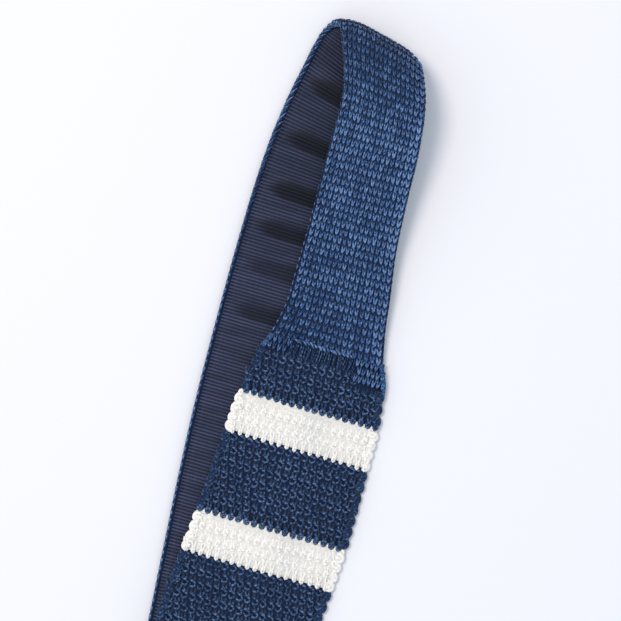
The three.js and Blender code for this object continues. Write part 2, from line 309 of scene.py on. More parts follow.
# A round strand along a path: its points, faces, and for each point how far along it is and which way it looks
def strand(path, radius, sides=5, steps=None, across=(0, 0, 1), ring=False):
    path = np.array(path, float)
    if steps:
        path = lineThrough(path)(np.linspace(0, 1, steps + 1))
    n = len(path)
    radius = np.atleast_1d(radius)
    radius = np.interp(np.linspace(0, 1, n), np.linspace(0, 1, len(radius)), radius)
    ahead = np.roll(path, -1, 0) - np.roll(path, 1, 0) if ring else np.gradient(path, axis=0)
    side = unit(np.cross(np.array(across, float), unit(ahead)))
    lift = np.cross(unit(ahead), side)
    angle = np.arange(sides) * 2 * math.pi / sides
    points = path[:, None] + radius[:, None, None] * (
        np.cos(angle)[None, :, None] * side[:, None] + np.sin(angle)[None, :, None] * lift[:, None]
    )
    points = points.reshape(-1, 3)
    length = np.concatenate([[0], np.cumsum(np.linalg.norm(np.diff(path, axis=0), axis=1))])
    facts = np.stack([np.repeat(length, sides), np.tile(np.cos(angle), n), np.tile(np.sin(angle), n)], axis=1)
    i = np.arange(n if ring else n - 1)[:, None] * sides
    k = np.arange(sides)[None]
    nextRow, nextSide = (i + sides) % (n * sides), (k + 1) % sides
    quads = quadsOf(i + k, nextRow + k, nextRow + nextSide, i + nextSide)
    if ring:
        return {"points": points, "quads": quads, "tris": np.zeros((0, 3), int), "facts": facts}
    k = np.arange(sides)
    first, last = len(points), len(points) + 1
    tris = np.concatenate([
        np.stack([k, (k + 1) % sides, np.full(sides, first)], 1),
        np.stack([(n - 1) * sides + (k + 1) % sides, (n - 1) * sides + k, np.full(sides, last)], 1),
    ])
    ends = np.stack([path[0] - unit(ahead[0]) * radius[0] * 0.5, path[-1] + unit(ahead[-1]) * radius[-1] * 0.5])
    facts = np.vstack([facts, [length[0], 0, 0], [length[-1], 0, 0]])
    return {"points": np.vstack([points, ends]), "quads": quads, "tris": tris, "facts": facts}


def joined(parts):
    start, found = 0, {"quads": [], "tris": []}
    for part in parts:
        for kind in found:
            found[kind].append(part[kind] + start)
        start += len(part["points"])
    made = {kind: np.concatenate(found[kind]) for kind in found}
    for kind in ("points", "facts", "tone", "crest"):
        if kind in parts[0]:
            made[kind] = np.concatenate([part[kind] for part in parts])
    return made


# How far stitches stray from their pattern: turn and lean in radians, width and height as shares, places in mm
stray = {"turn": 0.05, "width": 0.04, "height": 0.035, "lean": 0.07, "x": 0.07, "y": 0.09, "z": 0.04, "twist": 3}


# Copies of one stitch, each at its own place, with a little wander in place, size, turn and tone.
# The crest of a stitch, its highest part, is kept for the material, which paints a highlight on it and shade
# below it
def repeated(stitch, x, y, width=1.0, loose=1.0, lighter=0.0, uneven=1.0):
    n, k = len(x), len(stitch["points"])

    def strayed(kind, middle=0):
        return chance.normal(middle, stray[kind] * loose, n)

    turn = strayed("turn")[:, None]
    wide = (width * strayed("width", 1))[:, None]
    tall = strayed("height", 1)[:, None]
    dx, dy, dz = (stitch["points"][None, :, i] for i in range(3))
    dx, dy = dx * wide + dy * strayed("lean")[:, None], dy * tall
    points = np.stack([
        (x + strayed("x"))[:, None] + dx * np.cos(turn) - dy * np.sin(turn),
        (y + strayed("y"))[:, None] + dx * np.sin(turn) + dy * np.cos(turn),
        dz + strayed("z")[:, None],
    ], axis=-1).reshape(-1, 3)
    step = (np.arange(n) * k)[:, None, None]
    facts = np.tile(stitch["facts"], (n, 1))
    facts[:, 0] += np.repeat(chance.random(n) * stray["twist"], k)
    return {
        "points": points,
        "quads": (stitch["quads"][None] + step).reshape(-1, 4),
        "tris": (stitch["tris"][None] + step).reshape(-1, 3),
        "facts": facts,
        "tone": np.repeat(0.5 + uneven * (chance.random(n) - 0.5) + lighter, k),
        "crest": np.tile(smoothStep(dz[0], mix(dz.min(), dz.max(), 0.4), dz.max()), n),
    }


# A closed slab: rows of points over its face and the same rows over its back
def slabOf(face, back):
    rows, columns = face.shape[:2]
    ring = np.concatenate([face, back[:, ::-1]], axis=1)
    count = 2 * columns
    i, k = np.arange(rows - 1)[:, None] * count, np.arange(count)[None]
    after = (k + 1) % count
    quads = quadsOf(i + k, i + after, i + count + after, i + count + k)
    k = np.arange(columns - 1)
    cap = np.stack([k, count - 1 - k, count - 2 - k, k + 1], 1)
    quads = np.concatenate([quads, cap, (cap + (rows - 1) * count)[:, ::-1]])
    return {"points": ring.reshape(-1, 3), "quads": quads, "tris": np.zeros((0, 3), int)}


def addPiece(name, made, materials, pick=None, flip=False):
    points = (made["points"] + toFrame) / 1000
    points[:, 2] = np.maximum(points[:, 2], 0.00002)  # nothing sinks into the table
    mesh = bpy.data.meshes.new(name)
    quads, tris = made["quads"], made["tris"]
    if flip:
        quads, tris = quads[:, ::-1], tris[:, ::-1]
    mesh.vertices.add(len(points))
    mesh.vertices.foreach_set("co", points.astype(np.float32).ravel())
    corners = np.concatenate([quads.ravel(), tris.ravel()]).astype(np.int32)
    mesh.loops.add(len(corners))
    mesh.loops.foreach_set("vertex_index", corners)
    starts = np.concatenate([np.arange(len(quads)) * 4, len(quads) * 4 + np.arange(len(tris)) * 3])
    mesh.polygons.add(len(starts))
    mesh.polygons.foreach_set("loop_start", starts.astype(np.int32))
    mesh.polygons.foreach_set("use_smooth", np.ones(len(starts), bool))
    if pick is not None:
        mesh.polygons.foreach_set("material_index", pick.astype(np.int32))
    mesh.update(calc_edges=True)
    for kind, dataType, field in (
        ("facts", "FLOAT_VECTOR", "vector"), ("tone", "FLOAT", "value"), ("crest", "FLOAT", "value"),
    ):
        if kind in made:
            layer = mesh.attributes.new(kind, dataType, "POINT")
            layer.data.foreach_set(field, made[kind].astype(np.float32).ravel())
    # a plain map from above for the baked pictures
    low, high = points.min(0), points.max(0)
    flat = (points[:, :2] - low[:2]) / (high - low)[:2].max()
    mesh.uv_layers.new(name="OFBake").data.foreach_set("uv", flat[corners].astype(np.float32).ravel())
    piece = bpy.data.objects.new(name, mesh)
    scene.collection.objects.link(piece)
    for material in materials:
        mesh.materials.append(material)
    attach(piece, "root")
    print(name, "has", 2 * len(quads) + len(tris), "triangles")
    return piece


def colour(r, g, b):
    return tuple(((c / 255) / 12.92 if c < 11 else ((c / 255 + 0.055) / 1.055) ** 2.4) for c in (r, g, b)) + (1,)


# A number or a colour is set on the socket, anything else is linked to it
def feed(tree, value, socket):
    if isinstance(value, (int, float, tuple)):
        socket.default_value = value
    else:
        tree.links.new(value, socket)


def mathNode(tree, operation, first, second):
    node = tree.nodes.new("ShaderNodeMath")
    node.operation = operation
    feed(tree, first, node.inputs[0])
    feed(tree, second, node.inputs[1])
    return node.outputs[0]


def blendNode(tree, factor, first, second):
    node = tree.nodes.new("ShaderNodeMix")
    node.data_type = "RGBA"
    node.clamp_factor = True
    for label, value in (("Factor", factor), ("A", first), ("B", second)):
        feed(tree, value, node.inputs[label])
    return node.outputs["Result"]


def noiseNode(tree, where, scale, detail=2):
    node = tree.nodes.new("ShaderNodeTexNoise")
    for label, value in (("Vector", where), ("Scale", scale), ("Detail", detail)):
        feed(tree, value, node.inputs[label])
    return node.outputs["Fac"]


def attributeNode(tree, name):
    node = tree.nodes.new("ShaderNodeAttribute")
    node.attribute_name = name
    return node.outputs


def newGroup(name, inputs, outputs):
    tree = bpy.data.node_groups.new(name, "ShaderNodeTree")
    for label, kind, value in inputs:
        socket = tree.interface.new_socket(label, in_out="INPUT", socket_type=kind)
        socket.default_value = value
    for label, kind in outputs:
        tree.interface.new_socket(label, in_out="OUTPUT", socket_type=kind)
    return tree, tree.nodes.new("NodeGroupInput").outputs, tree.nodes.new("NodeGroupOutput").inputs


# Dyed wool: each stitch takes its own tone, and short flecks of paler and darker fibre run through it. Over that,
# each strand's crest gets a painted highlight and its low parts painted shade, and each ply a painted highlight
def makeMelange():
    tree, given, result = newGroup(
        "woolMelange",
        [
            ("Deep", "NodeSocketColor", (0, 0, 0, 1)),
            ("Body", "NodeSocketColor", (0, 0, 0, 1)),
            ("Pale", "NodeSocketColor", (1, 1, 1, 1)),
            ("Fleck Size", "NodeSocketFloat", 900.0),
            ("Fleck Strength", "NodeSocketFloat", 0.5),
            ("Stitch Strength", "NodeSocketFloat", 0.5),
            ("Rubbed", "NodeSocketFloat", 0.5),
            ("Cloud", "NodeSocketFloat", 0.2),
            ("Ply", "NodeSocketFloat", 0.0),
            ("Ply Strength", "NodeSocketFloat", 0.3),
        ],
        [("Color", "NodeSocketColor"), ("Roughness", "NodeSocketFloat")],
    )

    # lighter or darker than the body colour, by how far a value lies from its middle
    def swing(value, middle, strength):
        return mathNode(tree, "MULTIPLY", mathNode(tree, "SUBTRACT", value, middle), strength)

    where = tree.nodes.new("ShaderNodeTexCoord").outputs["Object"]
    fleck = noiseNode(tree, where, given["Fleck Size"])
    level = mathNode(tree, "MULTIPLY", swing(fleck, 0.5, given["Fleck Strength"]), 3.0)
    for part in (
        swing(attributeNode(tree, "tone")["Fac"], 0.5, given["Stitch Strength"]),
        swing(noiseNode(tree, where, 60), 0.5, given["Cloud"]),
        # painted highlight on the crests, painted shade below them
        swing(attributeNode(tree, "crest")["Fac"], 0.6, given["Rubbed"]),
        # painted highlight on each ply, painted shade between the plies
        mathNode(tree, "MULTIPLY", given["Ply"], given["Ply Strength"]),
    ):
        level = mathNode(tree, "ADD", level, part)
    darker = blendNode(tree, mathNode(tree, "MULTIPLY", level, -1.4), given["Body"], given["Deep"])
    feed(tree, blendNode(tree, level, darker, given["Pale"]), result["Color"])
    feed(tree, mathNode(tree, "ADD", mathNode(tree, "MULTIPLY", fleck, 0.25), 0.68), result["Roughness"])
    return tree


# Twisted plies with a little fuzz over them. The plies' wave also goes out to the colour, for a painted highlight
# on each ply
def makeTwist():
    tree, given, result = newGroup(
        "yarnTwist",
        [
            ("Ply Length", "NodeSocketFloat", 1.6),
            ("Plies", "NodeSocketFloat", 1.0),
            ("Fuzz", "NodeSocketFloat", 0.4),
        ],
        [("Height", "NodeSocketFloat"), ("Ply", "NodeSocketFloat")],
    )
    parts = tree.nodes.new("ShaderNodeSeparateXYZ")
    feed(tree, attributeNode(tree, "facts")["Vector"], parts.inputs[0])
    turns = mathNode(tree, "DIVIDE", parts.outputs[0], given["Ply Length"])
    turn = mathNode(tree, "MULTIPLY", turns, 2 * math.pi)
    first = mathNode(tree, "MULTIPLY", mathNode(tree, "SINE", turn, 0), parts.outputs[1])
    second = mathNode(tree, "MULTIPLY", mathNode(tree, "COSINE", turn, 0), parts.outputs[2])
    wave = mathNode(tree, "ADD", first, second)
    feed(tree, wave, result["Ply"])
    ply = mathNode(tree, "MULTIPLY", wave, given["Plies"])
    fuzz = noiseNode(tree, tree.nodes.new("ShaderNodeTexCoord").outputs["Object"], 4200, 3)
    feed(tree, mathNode(tree, "ADD", ply, mathNode(tree, "MULTIPLY", fuzz, given["Fuzz"])), result["Height"])
    return tree


# Fine warp over thick ribs
def makeGrosgrain():
    tree, given, result = newGroup(
        "grosgrainWeave",
        [("Thread", "NodeSocketFloat", 2600.0), ("Depth", "NodeSocketFloat", 1.0)],
        [("Height", "NodeSocketFloat"), ("Thread Mask", "NodeSocketFloat")],
    )
    stretch = tree.nodes.new("ShaderNodeMapping")
    stretch.inputs["Scale"].default_value = (1, 0.12, 1)
    feed(tree, tree.nodes.new("ShaderNodeTexCoord").outputs["Object"], stretch.inputs["Vector"])
    threads = noiseNode(tree, stretch.outputs[0], given["Thread"])
    feed(tree, threads, result["Thread Mask"])
    feed(tree, mathNode(tree, "MULTIPLY", threads, given["Depth"]), result["Height"])
    return tree


melange, twist, grosgrain = makeMelange(), makeTwist(), makeGrosgrain()


def placeGroup(tree, group, values):
    node = tree.nodes.new("ShaderNodeGroup")
    node.node_tree = group
    for label, value in values.items():
        node.inputs[label].default_value = value
    return node


def newMaterial(name, sheen, sheenRoughness, bump):
    material = bpy.data.materials.new(name)
    material.use_nodes = True
    tree = material.node_tree
    shader = tree.nodes["Principled BSDF"]
    shader.inputs["Specular IOR Level"].default_value = 0.15
    shader.inputs["Sheen Weight"].default_value = sheen
    shader.inputs["Sheen Roughness"].default_value = sheenRoughness
    relief = tree.nodes.new("ShaderNodeBump")
    relief.inputs["Strength"].default_value = 1.0
    relief.inputs["Distance"].default_value = bump
    feed(tree, relief.outputs[0], shader.inputs["Normal"])
    return material, tree, shader, relief


def woolMaterial(name, look):
    material, tree, shader, relief = newMaterial(name, look["sheen"], 0.5, look["bump"])
    dye = placeGroup(tree, melange, {
        "Deep": colour(*look["deep"]),
        "Body": colour(*look["body"]),
        "Pale": colour(*look["pale"]),
        "Fleck Size": look["fleckSize"],
        "Fleck Strength": look["flecks"],
        "Stitch Strength": look["stitches"],
        "Rubbed": look["rubbed"],
        "Ply Strength": look["plyTone"],
    })
    spin = placeGroup(tree, twist, {
        "Ply Length": look["plyLength"], "Plies": look["plies"], "Fuzz": look["fuzz"],
    })
    feed(tree, dye.outputs["Color"], shader.inputs["Base Color"])
    feed(tree, dye.outputs["Roughness"], shader.inputs["Roughness"])
    feed(tree, spin.outputs["Height"], relief.inputs["Height"])
    # the plies' wave paints a highlight on each ply and shade between them
    feed(tree, spin.outputs["Ply"], dye.inputs["Ply"])
    return material


def ribbonMaterial(name, look):
    material, tree, shader, relief = newMaterial(name, look["sheen"], 0.4, look["bump"])
    weave = placeGroup(tree, grosgrain, {})
    feed(tree, weave.outputs["Height"], relief.inputs["Height"])
    threads = mathNode(tree, "ADD", weave.outputs["Thread Mask"], 0.5)
    # painted sheen on the ribs' crests, painted shade in the grooves
    shine = mathNode(tree, "MULTIPLY", attributeNode(tree, "crest")["Fac"], threads)
    tint = blendNode(tree, shine, colour(*look["body"]), colour(*look["pale"]))
    # painted shade inside the tucks, carried by the tone attribute, blends towards the dark tuck colour
    paintedTuckShade = mathNode(tree, "MULTIPLY", attributeNode(tree, "tone")["Fac"], look["tuckShare"])
    feed(tree, blendNode(tree, paintedTuckShade, tint, colour(*look["tuck"])), shader.inputs["Base Color"])
    shader.inputs["Roughness"].default_value = 0.5
    return material


navyYarn = {
    "deep": (6, 21, 48), "body": (23, 52, 87), "pale": (94, 122, 160),
    "fleckSize": 1100, "flecks": 0.9, "stitches": 0.4, "rubbed": 0.8,
    "plyLength": 1.4, "plyTone": 0.3, "plies": 1.0, "fuzz": 1.2, "bump": 0.0001, "sheen": 0.12,
}
ecruYarn = {
    "deep": (212, 210, 202), "body": (229, 227, 220), "pale": (239, 237, 232),
    "fleckSize": 1100, "flecks": 0.8, "stitches": 0.4, "rubbed": 0.1,
    "plyLength": 1.4, "plyTone": 0.2, "plies": 0.7, "fuzz": 1.0, "bump": 0.00008, "sheen": 0.1,
}
heatherYarn = {
    "deep": (14, 36, 68), "body": (48, 80, 124), "pale": (110, 142, 184),
    "fleckSize": 1300, "flecks": 0.9, "stitches": 0.6, "rubbed": 0.9,
    "plyLength": 1.2, "plyTone": 0.2, "plies": 1.0, "fuzz": 1.0, "bump": 0.00008, "sheen": 0.12,
}
# the cloth behind the stitches takes darker copies of the yarns, painted shade for the stitches over it, and has
# no plies of its own
inShade = {"plies": 0, "plyTone": 0}
navyInsideShade = {**navyYarn, **inShade, "body": (14, 36, 71), "pale": (30, 57, 95)}
ecruInsideShade = {**ecruYarn, **inShade, "deep": (196, 194, 187), "body": (213, 211, 204)}
heatherInsideShade = {**heatherYarn, **inShade, "body": (22, 42, 80), "pale": (36, 60, 104)}
ribbon = {
    # the tuck colour is painted shade for the tucks' steep sides
    "body": (5, 10, 25), "pale": (58, 66, 94), "tuck": (4, 8, 22), "tuckShare": 0.85,
    "sheen": 0.0, "bump": 0.00006,
}

navyWool = woolMaterial("navy wool", navyYarn)
ecruWool = woolMaterial("ecru wool", ecruYarn)
heatherWool = woolMaterial("heather wool", heatherYarn)
navyShadedBack = woolMaterial("navy wool, inside", navyInsideShade)
ecruShadedBack = woolMaterial("ecru wool, inside", ecruInsideShade)
heatherShadedBack = woolMaterial("heather wool, inside", heatherInsideShade)
ribbonSilk = ribbonMaterial("ribbon silk", ribbon)
print("materials ready")


# The blades' crochet: rows of loops hanging side by side, each row half a stitch over from the last, and from
# every loop two thinner legs that climb between the loops above it. Where the colour changes, the rows lie at
# half the distance
crochet = {
    "firstStripe": 23.5,  # from the seam to the first stripe
    "period": 48.6,  # from stripe to stripe
    "ecruRows": (1.2, 6.06, 10.92, 15.78),  # below the stripe's top
    "navyRows": (18.6, 23.55, 28.5, 33.45, 38.4, 43.3, 48.2),
    "yokeRows": (19.9, 15.0, 10.1, 5.2, 0.3),  # above the first stripe's top
    "ecruUp": 0.3,  # the cloth behind the ecru rows starts above the stripe's top
    "ecruHeight": 16.0,  # and ends this far below it
    "bulgesDown": 1.4,  # the ecru bulges at the edges start below it
    "bulgesHeight": 15.6,  # and share this height
    "step": 0.3,  # how much higher the last row of a colour lies, and how much lower the first
    "loose": 1.0,
    "uneven": 0.5,  # in tone, from stitch to stitch
    "margin": 2.2,  # left to the bulges at the edges
    "fewest": 3,  # stitches in a row
    "openFrom": 6,  # nearer to the seam than this, the band's stitches cover the blade's
    "fullFrom": 10,  # and nearer than this, they cover its right side
    "pastJoin": 4.0,  # how far past the joining row the covered rows reach
}
# how thick the yarn of a loop and of its legs is, how deep the legs lie, and how far the cloth behind lies below
# the top of the stitches
navyLoop = {"yarn": 0.5, "leg": 0.46, "legDepth": 0.2, "behind": 1.05}
# width and height from the middle of a loop, its yarn at the sides and at the ends, and how far its sides dip
ecruLoop = {
    "width": 0.74, "height": 1.12, "side": 0.63, "end": 0.66, "dip": 0.03,
    "leg": 0.54, "legDepth": -0.09, "behind": 0.33,
}
navyLastLoop = {**navyLoop, "width": 0.78, "height": 1.0, "side": 0.62, "end": 0.7, "dip": 0.2}
ecruLastLoop = {**ecruLoop, "width": 0.46, "side": 0.52, "end": 0.7}
# a yarn comes in from the upper left, runs over the top and round to the lower left, and goes in again
curl = {
    "path": [
        (-1.6, 1.6, -1.0), (-1.05, 1.38, -0.3), (-0.1, 1.15, -0.05), (0.85, 0.65, -0.22), (1.08, -0.2, -0.38),
        (0.5, -0.95, -0.15), (-0.45, -1.05, -0.05), (-1.02, -0.45, -0.4), (-0.8, 0.3, -0.95),
    ],
    "thick": (0.75, 0.95, 1.05, 0.95, 0.88, 1.0, 1.08, 0.88, 0.65),  # against the loop's yarn
}
leg = {
    "path": [(0.2, 0.95, -0.85), (0.5, 1.8, -0.62), (0.72, 2.7, -0.75), (0.62, 3.7, -1.25)],
    "lean": 0.12,
    "steps": 3,
}
# the joining row of blade and band, and what hangs from it
join = {
    "from": -12.7,
    "to": 9.9,
    "yarn": 0.4,
    "lift": 0.5,
    "bar": [(-1.0, 0.5, -0.6), (-0.5, 0.5, -0.15), (0, 0.2, 0.0), (0.5, -0.25, -0.15), (0.95, -0.5, -0.6)],
    "barY": 0.2,
    "barPitch": 1.55,
    "drawn": [(0, 0.4, -0.5), (0.15, -1.0, -0.4), (0.1, -2.6, -0.45), (0, -4.4, -0.6), (-0.1, -5.6, -1.1)],
    "drawnYarn": (0.3, 0.36, 0.34, 0.36, 0.3),
    "drawnY": -0.6,
    "drawnPitch": 0.93,
    "past": 1.5,  # how far past its ends the strands and the rows by the edges reach
    "rowsY": (-1.2, -4.3, -7.4),
    "leftRows": 2,
    "wale": 1.9,
    "rimIn": 1.3,  # from the blade's edge to the outermost wale
}


def crochetStitch(size, loopSides, withLegs=True, loopSteps=9, legSides=4):
    if "width" in size:
        turn = np.arange(8) * math.pi / 4
        across, up = np.cos(turn), np.sin(turn)
        path = np.stack([size["width"] * across, size["height"] * up, -size["dip"] * across**2 - size["end"]], 1)
        loop = strand(path, mix(size["side"], size["end"], np.abs(up)), loopSides, ring=True)
    else:
        path = [(x, y, z - size["yarn"]) for x, y, z in curl["path"]]
        loop = strand(path, [size["yarn"] * thick for thick in curl["thick"]], loopSides, loopSteps)
    parts = [loop]
    for side in (-1, 1) if withLegs else ():
        path = [(side * x - leg["lean"] * (y - 1), y, z - size["legDepth"]) for x, y, z in leg["path"]]
        parts.append(strand(path, size["leg"], legSides, leg["steps"]))
    return joined(parts)


# Places of the stitches of one row: their middles, and how wide they are against the usual pitch
def rowPlaces(row, centre, width):
    stitchCount = max(int(round(width / blade["pitch"])), crochet["fewest"])
    pitch = width / stitchCount
    shift = (1 if row % 2 == 0 else -1) * blade["pitch"] / 4
    return centre + shift + (np.arange(stitchCount) + 0.5) * pitch - width / 2, pitch / blade["pitch"]


# The rows turn round at the blade's edges in soft bulges, one at each row's end
bulge = {
    "half": [(-3.0, 1.5, 2.1), (-1.7, 1.45, 2.15), (-1.05, 0.8, 1.95)],
    "tip": (-0.85, 0, 1.85),
    "lower": (-0.1, 0.3, -0.95),  # from the upper strand to the lower one
    "inner": [(-3.6, 0.1, 2.2), (-2.4, 0, 2.35), (-1.5, 0, 2.1)],
    "yarn": 0.92,
    "loose": 0.8,
    "lighter": -0.2,
    "uneven": 0.3,
    # share of the painted crest highlight on the bulges
    "rubbed": 0.4,
}


def edgeBulge(side, sides=5):
    upper = [*bulge["half"], bulge["tip"], *((x, -y, z) for x, y, z in bulge["half"][::-1])]
    lower = np.array(upper) + bulge["lower"]
    return joined([
        strand(np.array(path) * (side, 1, 1), bulge["yarn"], sides, steps)
        for path, steps in ((upper, 7), (lower, 7), (bulge["inner"], 3))
    ])


stitches = {
    dye: {
        "first": crochetStitch(loop, 5, withLegs=False),
        "plain": crochetStitch(loop, 5),
        "last": crochetStitch(last, 5),
    }
    for dye, loop, last in (("navy", navyLoop, navyLastLoop), ("ecru", ecruLoop, ecruLastLoop))
}
frontBulges = {side: edgeBulge(side) for side in (-1, 1)}
rowNumbers = itertools.count()


def frontRows(places, dye, top, height, underSeam=False):
    parts = []
    for i, y in enumerate(places):
        kind = "first" if i == 0 and not underSeam else "last" if i == len(places) - 1 else "plain"
        lift = {"first": -crochet["step"], "plain": 0, "last": crochet["step"]}[kind]
        centre, width = float(frontCentre(y)), float(frontWidth(y))
        x, wide = rowPlaces(next(rowNumbers), centre, width - crochet["margin"])
        if -y < crochet["openFrom"]:
            continue
        covered = -y < crochet["fullFrom"]
        if covered:
            x = x[x < join["to"] + crochet["pastJoin"]]
        stitch, loose, uneven = stitches[dye][kind], crochet["loose"], crochet["uneven"]
        row = repeated(stitch, x, np.full(len(x), y), wide, loose, uneven=uneven)
        row["points"][:, 2] += frontRest(row["points"][:, 0], row["points"][:, 1]) + blade["thickness"] + lift
        parts.append(row)
        end = top - (i + 0.5) * height / len(places)
        centre, width = float(frontCentre(end)), float(frontWidth(end))
        for side in (-1,) if covered else (-1, 1):
            place = np.array([centre + side * width / 2]), np.array([end])
            soft = repeated(frontBulges[side], *place, 1.0, bulge["loose"], bulge["lighter"], bulge["uneven"])
            soft["points"][:, 2] += frontRest(soft["points"][:, 0], soft["points"][:, 1])
            soft["crest"] *= bulge["rubbed"]
            parts.append(soft)
    return joined(parts)


def addRows(node, places, dye, top, height, underSeam=False):
    made = frontRows(places, dye, top, height, underSeam)
    piece = addPiece(f"{node}_knit", made, [navyWool if dye == "navy" else ecruWool])
    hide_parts(node)


yokePlaces = [-crochet["firstStripe"] + up for up in crochet["yokeRows"]]
addRows("front_blade_navy_01", yokePlaces, "navy", 0, crochet["firstStripe"], True)
ecruEnd = crochet["bulgesDown"] + crochet["bulgesHeight"]
for number in range(blade["stripes"]):
    top = -crochet["firstStripe"] - number * crochet["period"]
    ecruPlaces = [top - down for down in crochet["ecruRows"]]
    navyPlaces = [top - down for down in crochet["navyRows"]]
    bulgesTop = top - crochet["bulgesDown"]
    addRows(f"front_blade_stripe_{number + 1:02d}", ecruPlaces, "ecru", bulgesTop, crochet["bulgesHeight"])
    addRows(f"front_blade_navy_{number + 2:02d}", navyPlaces, "navy", top - ecruEnd, crochet["period"] - ecruEnd)


def isEcru(y):
    below = -y - crochet["firstStripe"] + crochet["ecruUp"]
    return (below > 0) & (below % crochet["period"] < crochet["ecruHeight"] + crochet["ecruUp"])


# The cloth that fills a blade behind its stitches, rounded off at its sides, in the yarns' painted shade copies
filling = {"row": 1.22, "inset": 0.9, "rounding": 0.6, "frontLow": 0.25, "rearHigh": 0.25, "endIn": 0.6}


def bladeCloth(yTop, yEnd, centreOf, widthOf, bottomOf, columns, low, highAt):
    rows = int((yTop - yEnd) / filling["row"])
    y = np.linspace(yTop, yEnd, rows + 1)[:, None] + np.zeros(columns)
    share = np.linspace(-1, 1, columns)[None]
    x = centreOf(y) + share * (widthOf(y) / 2 - filling["inset"])
    rounding = filling["rounding"] * np.abs(share) ** 8
    rest = bottomOf(x, y)
    face = np.stack([x, y, rest + highAt(y) - rounding], -1)
    back = np.stack([x, y, rest + low + rounding], -1)
    return slabOf(face, back)


def frontHigh(y):
    return blade["thickness"] - np.where(isEcru(y), ecruLoop["behind"], navyLoop["behind"])


cloth = bladeCloth(
    -0.5, -frontLength + filling["endIn"], frontCentre, frontWidth, frontRest, 25, filling["frontLow"], frontHigh,
)
ecruFaces = isEcru(cloth["points"][cloth["quads"]][:, :, 1].mean(1))
frontCloth = addPiece("front_blade_cloth", cloth, [navyShadedBack, ecruShadedBack], pick=ecruFaces, flip=True)
areaOfFront = float(frontWidth(np.linspace(-frontLength, 0, 400)).mean()) * frontLength

# The rear blade lies face down, so its stitches look at the table
rearKnitting = {"firstRow": 1.9, "margin": 0.6, "bulgeUp": 0.2, "bulgeLoose": 0.6, "lowest": 0.02}
rearStitch = crochetStitch(navyLoop, 4, loopSteps=6, legSides=3)
rearBulges = {side: edgeBulge(side, 4) for side in (-1, 1)}
parts = []
for number in range(rear["courses"]):
    y = rearJoint - number * blade["course"] - rearKnitting["firstRow"]
    centre, width = float(rearCentre(y)), float(rearWidth(y))
    x, wide = rowPlaces(number, centre, width - rearKnitting["margin"])
    row = repeated(rearStitch, x, np.full(len(x), y), wide, crochet["loose"])
    row["points"][:, 2] = -row["points"][:, 2]
    row["quads"], row["tris"] = row["quads"][:, ::-1], row["tris"][:, ::-1]
    parts.append(row)
    for side in (-1, 1):
        place = np.array([centre + side * width / 2]), np.array([y + rearKnitting["bulgeUp"]])
        parts.append(repeated(rearBulges[side], *place, 1.0, rearKnitting["bulgeLoose"]))
made = joined(parts)
made["points"][:, 2] = np.maximum(made["points"][:, 2], rearKnitting["lowest"])
rearKnit = addPiece("rear_blade_knit", made, [navyWool])
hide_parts("rear_blade")
cloth = bladeCloth(
    rearJoint - 0.4, rearEnd + filling["endIn"], rearCentre, rearWidth, lambda x, y: 0 * x, 15,
    navyLoop["behind"], lambda y: blade["thickness"] - filling["rearHigh"],
)
rearCloth = addPiece("rear_blade_cloth", cloth, [navyShadedBack], flip=True)
print("blades ready")


# The neck band's fine V stitches
neck = {
    "wales": 18,
    "wale": 1.88,
    "edgeWales": 2,  # of them, by the right edge, set apart a little
    "edgeWale": 1.9,
    "edgeWider": 1.12,
    "edgeLighter": 0.3,
    "leftMargin": 1.0,
    "rightMargin": 0.8,
    "endMargin": 0.5,
    "row": 3.15,
    "leg": [(0.64, 2.05, -0.95), (0.54, 1.25, -0.68), (0.36, 0.4, -0.42), (0.21, -0.5, -0.32)],
    "point": (0, -1.15, -0.46),
    "yarn": 0.385,
    "thick": (0.7, 1, 1, 1, 0.8, 1, 1, 1, 0.7),  # from end to end, against the yarn
    "loose": 0.9,
    # tone at some heights, painted light and shade: darker over the fold and by the seam, palest halfway down
    "toneY": (0, 20, 60, 88, 104, 124),
    "tone": (-0.25, -0.05, 0.12, 0.1, -0.5, -0.6),
    "seamTone": 0.45,  # how much painted shade darkens the corner by the seam and the left edge
}


def neckStitch(steps, sides):
    path = [*((-x, y, z) for x, y, z in neck["leg"]), neck["point"], *neck["leg"][::-1]]
    return strand(path, [neck["yarn"] * thick for thick in neck["thick"]], sides, steps)


# Painted light and shade on the band: by height, and darker in the corner by the seam and the left edge
def neckPaintedShade(across, along):
    y = middleY(along)
    seam = 1 - smoothStep(y, 2, 26) * mix(0.6, 1, across)
    return np.interp(y, neck["toneY"], neck["tone"]) - neck["seamTone"] * seam * (1 - across)


def neckRows(stitch, start, end):
    rows = int(round((end - start) / neck["row"]))
    along = start + (np.arange(rows) + 0.5) * (end - start) / rows
    plain = neck["leftMargin"] + (np.arange(neck["wales"] - neck["edgeWales"]) + 0.5) * neck["wale"]
    edge = band["width"] - neck["rightMargin"] - (np.arange(neck["edgeWales"])[::-1] + 0.5) * neck["edgeWale"]
    u, v = (places.ravel() for places in np.meshgrid(np.concatenate([plain, edge]) / band["width"], along))
    isEdge = np.tile(np.arange(neck["wales"]) >= neck["wales"] - neck["edgeWales"], rows)
    width = bandWidth(v)
    wide = width / band["width"] * np.where(isEdge, neck["edgeWider"], 1)
    lighter = neckPaintedShade(u, v) + neck["edgeLighter"] * isEdge
    made = repeated(stitch, np.zeros(u.size), v, wide, neck["loose"], lighter)
    k = len(stitch["points"])
    share = np.repeat(u, k) + made["points"][:, 0] / np.repeat(width, k)
    made["points"] = onBand(share, made["points"][:, 1], made["points"][:, 2] + band["thickness"] / 2)
    return made


